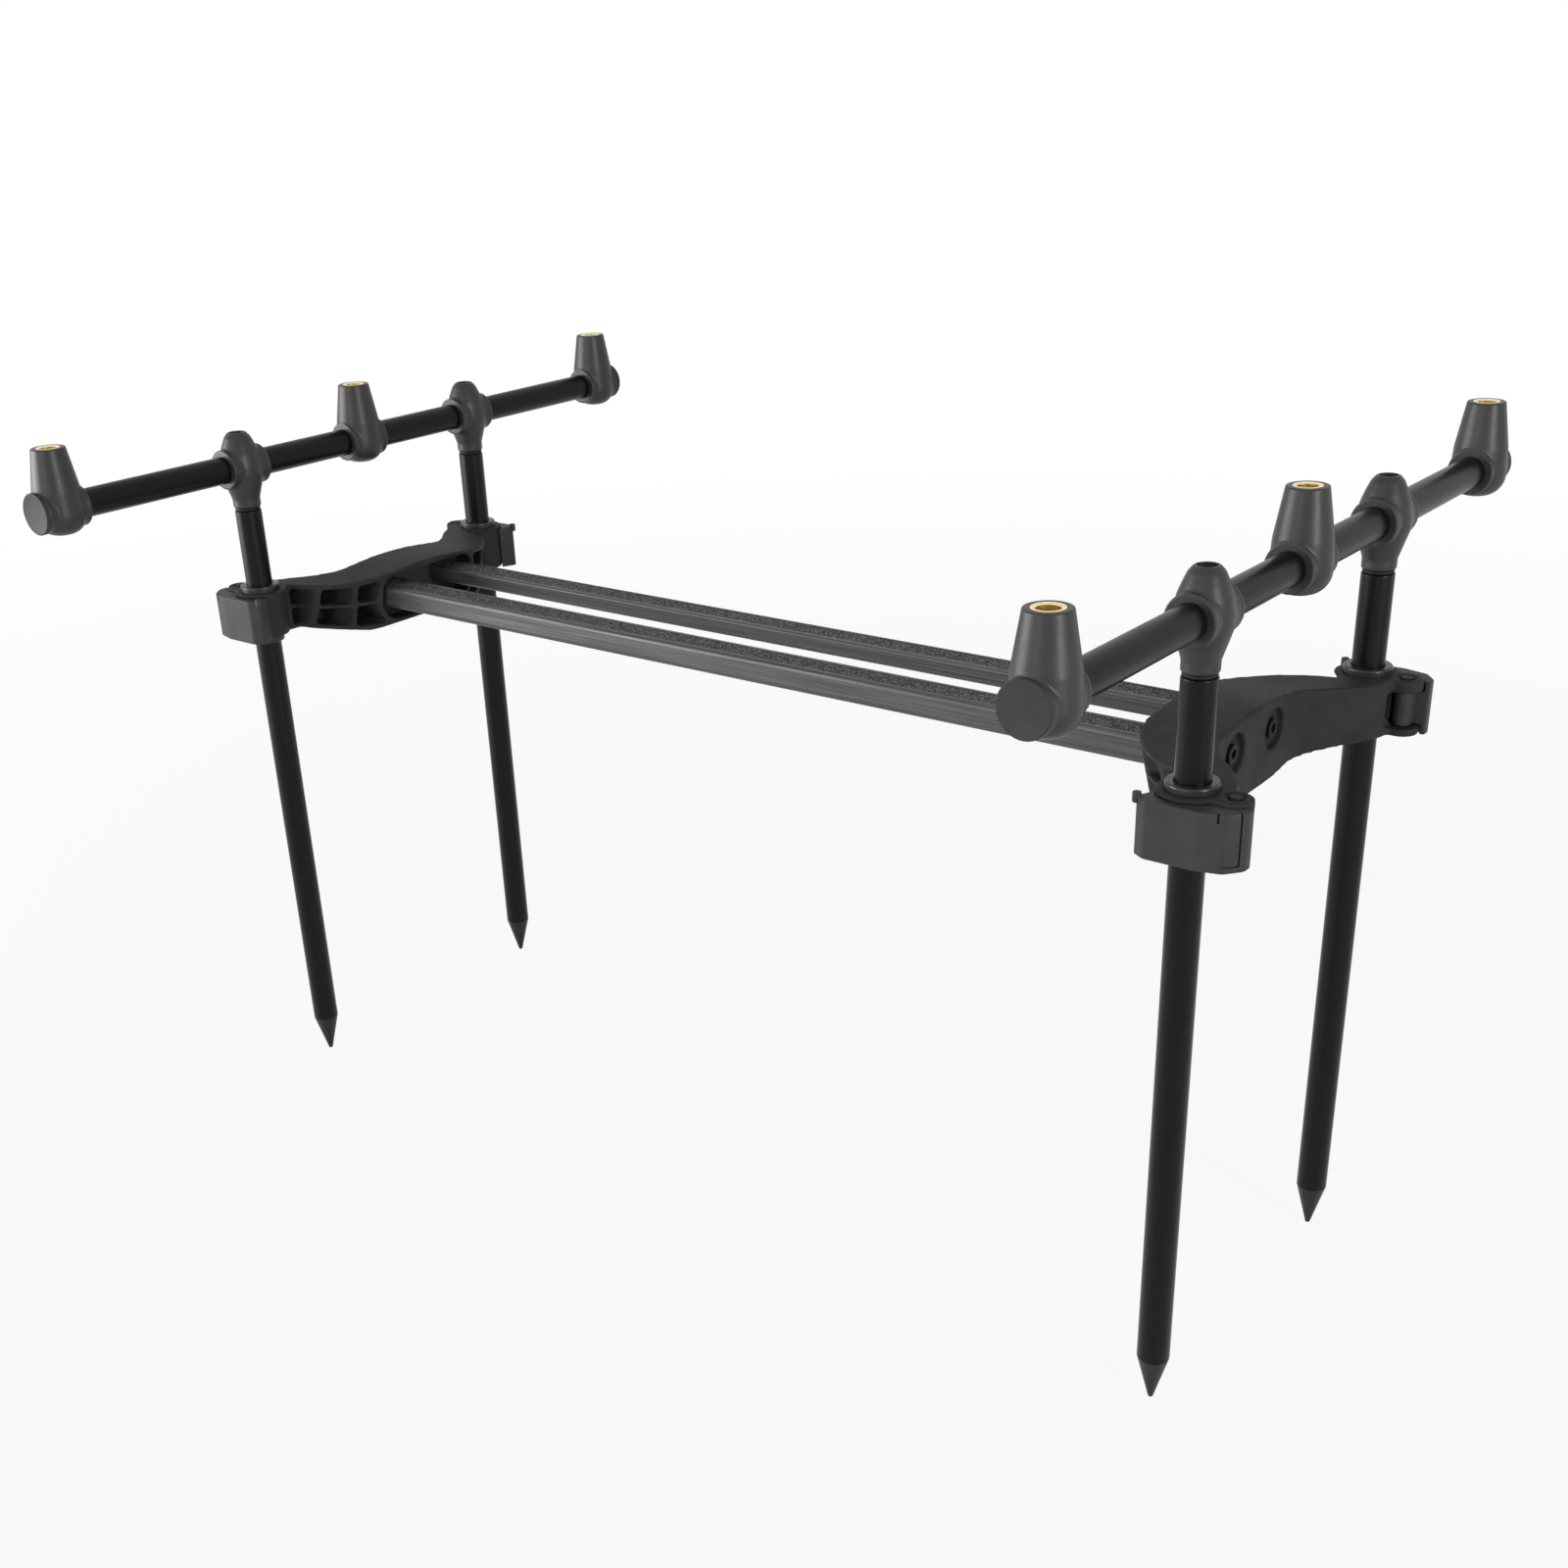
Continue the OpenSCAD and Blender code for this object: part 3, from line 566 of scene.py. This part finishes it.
bpy.ops.object.select_all(action="DESELECT")
bpy.ops.mesh.primitive_circle_add(vertices=3, radius=THREAD_DEPTH, rotation=(math.pi / 2, math.pi / 2, 0),
                                  location=(RIDGE_R, 0, INSERT_LOW + PITCH))
ridge = rename(bpy.context.object, "ridge")
settle(ridge)
turns = int((INSERT_TOP - INSERT_LOW) / PITCH) - SPARE_TURNS
finish_with(ridge, "SCREW", axis="Z", angle=2 * math.pi, screw_offset=PITCH, iterations=turns,
            steps=THREAD_STEPS, render_steps=THREAD_STEPS)
edit_all(ridge)
bpy.ops.mesh.fill_holes(sides=0)
bpy.ops.mesh.normals_make_consistent(inside=False)
bpy.ops.object.mode_set(mode="OBJECT")
insert = join([bush, ridge], "insert_pattern")
smooth_shade(insert, THREAD_CREASE)
print("thread of", turns, "turns")

# %% Set the six inserts
for end in END_SIGN:
    row = [copy_to(insert, "insert", on_bar(end, sign * SOCKET_Y)) for sign in PLACE_SIGN.values()]
    piece = join(row, f"threaded_inserts_{end}")
    fit(piece, f"{end}_frame", f"brass_inserts_{end}")
bpy.data.objects.remove(insert)
print("pieces so far:", len(pieces))

# %% [markdown]
# ## Pebbled strips
# A strip of rubber lies in the top of each bar, moulded with a pebble grain. A bump in the material would
# pass from afar, but along the near bar the grain breaks the edge of the light. So the strip is a fine
# grid, raised by a cell texture, and given its thickness afterwards. It is a little narrower than its
# channel, which leaves the thin dark line that shows on both sides of it.

# %% Set up the pebble grain
PEBBLE = 0.0013
PEBBLE_RISE = 0.00022

pebbles = bpy.data.textures.new("pebbles", "VORONOI")
pebbles.noise_scale = PEBBLE
pebbles.distance_metric = "DISTANCE"
print("pebbles", PEBBLE * 1000, "mm across")

# %% Model the two strips
STRIP_GAP = 0.0005
GRID = 0.0005
STRIP_CREASE = 50

strip_low, strip_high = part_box("bar_strip_left")
strip_long, channel_wide, strip_thick = strip_high - strip_low
strip_wide = channel_wide - 2 * STRIP_GAP
for side in SIDES:
    low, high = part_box(f"bar_strip_{side}")
    bpy.ops.object.select_all(action="DESELECT")
    bpy.ops.mesh.primitive_grid_add(x_subdivisions=int(strip_long / GRID),
                                    y_subdivisions=int(strip_wide / GRID), size=1,
                                    location=((low.x + high.x) / 2, (low.y + high.y) / 2, high.z))
    piece = rename(bpy.context.object, f"pebbled_strip_{side}")
    piece.scale = (strip_long, strip_wide, 1)
    settle(piece)
    finish_with(piece, "DISPLACE", texture=pebbles, texture_coords="LOCAL", direction="Z",
                strength=-PEBBLE_RISE, mid_level=0.0)
    finish_with(piece, "SOLIDIFY", thickness=strip_thick - 2 * PEBBLE_RISE, offset=-1)
    smooth_shade(piece, STRIP_CREASE)
    fit(piece, "chassis", f"bar_strip_{side}")
    print(piece.name, len(piece.data.polygons), "faces", [round(v * 1000, 2) for v in piece.dimensions])

# %% [markdown]
# ## Finishes
# Almost everything here is black, so the finishes have to differ in how they take the light: satin plastic
# spreads it, anodised tube keeps a narrow streak, gun-metal extrusion shows the lines of its die, and
# brass flashes. Pictures could be wrapped round the pieces, but they blur close up. Each finish is a small
# node tree on Object coordinates instead, in metres, so that a grain of a third of a millimetre is a noise
# of 3000 to the metre.


# %% Start a finish, and lay noise over it
def new_finish(name, gloss, metal=0.0):
    """A new material, with its node tree and its shader."""
    material = bpy.data.materials.new(name)
    material.use_nodes = True
    tree = material.node_tree
    shader = tree.nodes["Principled BSDF"]
    shader.inputs["Specular IOR Level"].default_value = gloss
    shader.inputs["Metallic"].default_value = metal
    return material, tree, shader


def noise(tree, scale, stretch=(1, 1, 1), detail=3.0, rough=0.55):
    """Noise on Object coordinates; a stretch under 1 draws it out along that axis."""
    place = tree.nodes.new("ShaderNodeTexCoord")
    turn = tree.nodes.new("ShaderNodeMapping")
    turn.inputs["Scale"].default_value = stretch
    grain = tree.nodes.new("ShaderNodeTexNoise")
    grain.inputs["Scale"].default_value = scale
    grain.inputs["Detail"].default_value = detail
    grain.inputs["Roughness"].default_value = rough
    tree.links.new(place.outputs["Object"], turn.inputs["Vector"])
    tree.links.new(turn.outputs["Vector"], grain.inputs["Vector"])
    return grain.outputs["Fac"]


print("noise ready")


# %% Turn noise into a range, a colour or a bump
def spread(tree, value, low, high, start=0.3, stop=0.7):
    """A value spread over a new range."""
    node = tree.nodes.new("ShaderNodeMapRange")
    node.inputs["From Min"].default_value = start
    node.inputs["From Max"].default_value = stop
    node.inputs["To Min"].default_value = low
    node.inputs["To Max"].default_value = high
    tree.links.new(value, node.inputs["Value"])
    return node.outputs["Result"]


def shades(tree, value, dark, light, start=0.3, stop=0.7):
    """A value turned into a colour between two."""
    node = tree.nodes.new("ShaderNodeValToRGB")
    node.color_ramp.elements[0].position = start
    node.color_ramp.elements[0].color = (*dark, 1)
    node.color_ramp.elements[1].position = stop
    node.color_ramp.elements[1].color = (*light, 1)
    tree.links.new(value, node.inputs["Fac"])
    return node.outputs["Color"]


def bump(tree, value, height):
    """A height made into a bent normal."""
    node = tree.nodes.new("ShaderNodeBump")
    node.inputs["Strength"].default_value = 1.0
    node.inputs["Distance"].default_value = height
    tree.links.new(value, node.inputs["Height"])
    return node.outputs["Normal"]


print("ranges, colours and bumps ready")


# %% Greys by their shade on a screen
def linear(shade):
    """The linear level of a shade from 0 to 255 on a screen, by the sRGB curve."""
    share = shade / 255
    return share / 12.92 if share <= 0.04045 else ((share + 0.055) / 1.055) ** 2.4


def grey(shade, tint=0.0):
    """A grey by its shade on a screen, a little bluer with a tint."""
    level = linear(shade)
    return (level, level, level * (1 + tint))


DARK_TINT = 0.02
LIGHT_TINT = 0.03
print("a screen shade of 75 is", round(linear(75), 4))

# %% [markdown]
# ### Moulded plastics
# Brackets, sockets, levers and bushes are black plastics from different moulds. One grey for all of them
# would make the pod look cast in one piece. So one recipe serves them all, with its own shade, sheen and
# grain for each: fibre-filled brackets are dull and rough, and bushes, which a leg slides through, are
# smooth. The rubber of the small rings is near enough to a dull plastic to share the recipe.

# %% Mix the moulded plastics
FLOW_CLOUD = 60
SHEEN_CLOUD = 700
MOULD_GRAIN = 3200


def plastic(name, dark, light, smooth, dull, grain, gloss):
    """Moulded plastic: clouded a little by the flow in the mould, with a spark-eroded grain."""
    material, tree, shader = new_finish(name, gloss)
    cloud = noise(tree, FLOW_CLOUD, detail=4)
    tree.links.new(shades(tree, cloud, grey(dark, DARK_TINT), grey(light, LIGHT_TINT)),
                   shader.inputs["Base Color"])
    tree.links.new(spread(tree, noise(tree, SHEEN_CLOUD), smooth, dull), shader.inputs["Roughness"])
    tree.links.new(bump(tree, noise(tree, MOULD_GRAIN, detail=2), grain), shader.inputs["Normal"])
    return material


PLASTICS = {
    "bracket_plastic": dict(dark=44, light=54, smooth=0.5, dull=0.62, grain=0.00003, gloss=0.06),
    "socket_plastic": dict(dark=44, light=52, smooth=0.36, dull=0.44, grain=0.00001, gloss=0.28),
    "lever_plastic": dict(dark=52, light=60, smooth=0.42, dull=0.55, grain=0.000025, gloss=0.15),
    "bush_plastic": dict(dark=34, light=42, smooth=0.26, dull=0.36, grain=0.00001, gloss=0.3),
    "inner_plastic": dict(dark=30, light=38, smooth=0.5, dull=0.6, grain=0.00002, gloss=0.15),
    "cap_plastic": dict(dark=54, light=62, smooth=0.5, dull=0.6, grain=0.00003, gloss=0.12),
    "ring_rubber": dict(dark=22, light=30, smooth=0.5, dull=0.65, grain=0.00002, gloss=0.2)}
finishes = {name: plastic(name, **look) for name, look in PLASTICS.items()}
print("plastics:", ", ".join(finishes))

# %% [markdown]
# ### Anodised metal
# Tubes and bars are drawn or pressed through a die, which leaves faint lines along them, and are then
# anodised in a dye bath. A plain colour would lose those lines. Here a noise is drawn out a hundred times
# along the piece. It runs along one axis of the pod, so legs and rest bars, which are the same tube, need a
# finish each. The hidden spigots are the same recipe without the dye.

# %% Dye the tubes, bars and spikes
DIE_LINES = 900
DRAWN_OUT = 0.01
DIE_LINE_HEIGHT = 0.000006
DYE_CLOUD = 25


def anodised(name, dark, light, smooth, dull, metal, along, gloss):
    """Anodised aluminium, with the faint lines of drawing or extruding along one axis."""
    material, tree, shader = new_finish(name, gloss, metal)
    stretch = [1, 1, 1]
    stretch["xyz".index(along)] = DRAWN_OUT
    lines = noise(tree, DIE_LINES, stretch, detail=4, rough=0.65)
    tree.links.new(shades(tree, lines, grey(dark, DARK_TINT), grey(light, LIGHT_TINT)),
                   shader.inputs["Base Color"])
    tree.links.new(spread(tree, noise(tree, DYE_CLOUD), smooth, dull), shader.inputs["Roughness"])
    tree.links.new(bump(tree, lines, DIE_LINE_HEIGHT), shader.inputs["Normal"])
    return material


ANODISED = {
    "black_leg_tube": dict(dark=4, light=8, smooth=0.28, dull=0.34, metal=0.0, along="z", gloss=0.18),
    "black_rest_tube": dict(dark=8, light=14, smooth=0.3, dull=0.36, metal=0.0, along="y", gloss=0.14),
    "bar_aluminium": dict(dark=62, light=98, smooth=0.34, dull=0.44, metal=0.5, along="x", gloss=0.12),
    "spike_metal": dict(dark=26, light=36, smooth=0.34, dull=0.44, metal=0.0, along="z", gloss=0.2),
    "plain_aluminium": dict(dark=150, light=175, smooth=0.3, dull=0.4, metal=1.0, along="z", gloss=0.2)}
finishes.update({name: anodised(name, **look) for name, look in ANODISED.items()})
print("finishes:", len(finishes))

# %% [markdown]
# ### Black steel and brass
# Screws, bolts and pins are blacked steel, and the inserts are bare brass. A metal of one even shine looks
# like a toy; fingers and rods have clouded these, so both their colour and their shine wander a little.

# %% Make the small metals
HANDLED_COLOUR = 400
HANDLED_SHINE = 900
BRASS_DARK = (0.78, 0.60, 0.28)
BRASS_LIGHT = (0.94, 0.78, 0.44)


def small_metal(name, dark, light, smooth, dull, metal, gloss):
    """Turned or pressed metal, clouded by handling."""
    material, tree, shader = new_finish(name, gloss, metal)
    cloud = noise(tree, HANDLED_COLOUR, detail=4)
    tree.links.new(shades(tree, cloud, dark, light), shader.inputs["Base Color"])
    tree.links.new(spread(tree, noise(tree, HANDLED_SHINE), smooth, dull), shader.inputs["Roughness"])
    return material


SMALL_METALS = {
    "black_steel": dict(dark=grey(20), light=grey(32), smooth=0.5, dull=0.65, metal=0.2, gloss=0.15),
    "insert_brass": dict(dark=BRASS_DARK, light=BRASS_LIGHT, smooth=0.2, dull=0.34, metal=1.0, gloss=0.5)}
finishes.update({name: small_metal(name, **look) for name, look in SMALL_METALS.items()})
print("finishes:", len(finishes))

# %% [markdown]
# ### Pebbled rubber
# The crowns of the pebbles are painted lighter than the valleys between them, a painted highlight on the
# crowns and painted shade in the valleys, and the crowns are smoother. That could be painted on by hand; a
# cell pattern with pebbles of the strip's own size does it for the whole length.

# %% Make the strips' rubber
CROWN_EDGE = 0.15
VALLEY_EDGE = 0.6
RUBBER_GRAIN = 2500
RUBBER_GRAIN_HEIGHT = 0.00005


def pebbled(name, shaded_valley, lit_crown, smooth, dull, gloss):
    """Rubber with a pebble grain: crowns painted lighter as a painted highlight, valleys darker as painted
    shade, and crowns smoother.
    """
    material, tree, shader = new_finish(name, gloss)
    place = tree.nodes.new("ShaderNodeTexCoord")
    cells = tree.nodes.new("ShaderNodeTexVoronoi")
    cells.inputs["Scale"].default_value = 1 / PEBBLE
    tree.links.new(place.outputs["Object"], cells.inputs["Vector"])
    depth = cells.outputs["Distance"]
    # The crowns get a painted highlight and the valleys a painted shade, from the cells' distance.
    tree.links.new(shades(tree, depth, grey(lit_crown), grey(shaded_valley), CROWN_EDGE, VALLEY_EDGE),
                   shader.inputs["Base Color"])
    tree.links.new(spread(tree, depth, smooth, dull, CROWN_EDGE, VALLEY_EDGE), shader.inputs["Roughness"])
    fine = noise(tree, RUBBER_GRAIN, detail=2)
    tree.links.new(bump(tree, fine, RUBBER_GRAIN_HEIGHT), shader.inputs["Normal"])
    return material


finishes["strip_rubber"] = pebbled("strip_rubber", shaded_valley=54, lit_crown=128, smooth=0.45, dull=0.7, gloss=0.15)
print("finishes:", len(finishes))

# %% [markdown]
# ### Dressing
# Every node and piece has a slot, and most slots have the finish of the same name. Finishes could be
# picked by hand, but a loop forgets nothing. Only three kinds of piece have a finish of their own: leg
# tubes and rest bars, for the way their lines run, and end caps, which are duller than the sockets beside
# them.

# %% Dress the frame and the pieces
OWN_FINISH = {"leg_tube": "black_leg_tube", "rest_bar": "black_rest_tube", "pressed_caps": "cap_plastic"}


def finish_for(name, slot):
    """The finish of a slot, or the one that this kind of piece has of its own."""
    for kind, own in OWN_FINISH.items():
        if name.startswith(kind):
            return finishes[own]
    return finishes[slot]


for node, shape in frame["nodes"].items():
    for material_slot in shape.material_slots:
        material_slot.material = finish_for(node, slot_of[node])
for name, piece in pieces.items():
    piece.data.materials.clear()
    piece.data.materials.append(finish_for(name, piece["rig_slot"]))
print("dressed:", len(frame["nodes"]), "nodes and", len(pieces), "pieces")

# %% [markdown]
# ## Studio
# The pod stands on white, as in a catalogue. A lamp strong enough to burn a floor out to white would burn
# the pod too, so the floor and the world are simply white to the camera and to reflections, and the floor
# keeps a part of its own shading, which is the shadow.

# %% Lay the floor
FLOOR_SIZE = 30

bpy.ops.object.select_all(action="DESELECT")
bpy.ops.mesh.primitive_plane_add(size=FLOOR_SIZE)
floor = rename(bpy.context.object, "studio_floor")
print("floor", FLOOR_SIZE, "m across")


# %% Tell looking from lighting
def seen_directly(tree):
    """1 for rays of the camera, of reflections and through glass, and 0 for the light's own bounces."""
    path = tree.nodes.new("ShaderNodeLightPath")
    total = path.outputs["Is Camera Ray"]
    for name in ("Is Glossy Ray", "Is Transmission Ray"):
        more = tree.nodes.new("ShaderNodeMath")
        more.operation = "MAXIMUM"
        tree.links.new(total, more.inputs[0])
        tree.links.new(path.outputs[name], more.inputs[1])
        total = more.outputs["Value"]
    return total


print("light paths ready")

# %% Paint the floor
FLOOR_GREY = (0.6, 0.6, 0.6, 1)
FLOOR_WHITE = 0.91
SHADOW_REACH = 0.6
FADE_REACH = 2.0

floor_paint, tree, paint = new_finish("studio_floor", gloss=0.0)
paint.inputs["Base Color"].default_value = FLOOR_GREY
paint.inputs["Roughness"].default_value = 1.0
white = tree.nodes.new("ShaderNodeEmission")
place = tree.nodes.new("ShaderNodeTexCoord")
reach = tree.nodes.new("ShaderNodeVectorMath")
reach.operation = "LENGTH"
tree.links.new(place.outputs["Object"], reach.inputs[0])
whiteness = spread(tree, reach.outputs["Value"], FLOOR_WHITE, 1.0, SHADOW_REACH, FADE_REACH)
share = tree.nodes.new("ShaderNodeMath")
share.operation = "MULTIPLY"
tree.links.new(seen_directly(tree), share.inputs[0])
tree.links.new(whiteness, share.inputs[1])
mix = tree.nodes.new("ShaderNodeMixShader")
tree.links.new(share.outputs["Value"], mix.inputs["Fac"])
tree.links.new(paint.outputs["BSDF"], mix.inputs[1])
tree.links.new(white.outputs["Emission"], mix.inputs[2])
tree.links.new(mix.outputs["Shader"], tree.nodes["Material Output"].inputs["Surface"])
floor.data.materials.append(floor_paint)
print("shadows fade out between", SHADOW_REACH, "and", FADE_REACH, "m")

# %% Light the world
AMBIENT = 0.22

world = bpy.data.worlds.new("studio")
bpy.context.scene.world = world
world.use_nodes = True
tree = world.node_tree
sky = tree.nodes["Background"]
sky.inputs["Color"].default_value = (1, 1, 1, 1)
level = tree.nodes.new("ShaderNodeMapRange")
level.inputs["To Min"].default_value = AMBIENT
level.inputs["To Max"].default_value = 1.0
tree.links.new(seen_directly(tree), level.inputs["Value"])
tree.links.new(level.outputs["Result"], sky.inputs["Strength"])
print("studio: ambient light", AMBIENT)

# %% [markdown]
# ### Soft lamps
# Black tube shows little but what it reflects, so the lamps are its drawing. Small lamps would leave
# bright dots; large soft boxes leave streaks. A strong one from the left draws the streaks down the tubes'
# left edges, a narrower one does the same from the right, and a weak one stands between them.

# %% Hang three soft lamps
AIM = Vector((0, 0, 0.3))


def soft_lamp(name, place, width, height, power):
    """A soft box that faces the pod."""
    bpy.ops.object.select_all(action="DESELECT")
    bpy.ops.object.light_add(type="AREA", location=place)
    lamp = bpy.context.object
    lamp.name = name
    lamp.data.shape = "RECTANGLE"
    lamp.data.size = width
    lamp.data.size_y = height
    lamp.data.energy = power
    lamp.rotation_mode = "QUATERNION"
    lamp.rotation_quaternion = (AIM - Vector(place)).to_track_quat("-Z", "Y")


soft_lamp("left_box", place=(-1.6, -1.3, 0.52), width=1.4, height=1.0, power=46)
soft_lamp("front_box", place=(0.1, -2.1, 0.9), width=0.8, height=1.0, power=10)
soft_lamp("right_box", place=(2.3, -0.6, 0.75), width=0.5, height=1.0, power=32)
print("lamps set")

# %% [markdown]
# ## Colour
# The scene shows its colours through the Standard view transform, as they are written.

bpy.context.scene.view_settings.view_transform = "Standard"
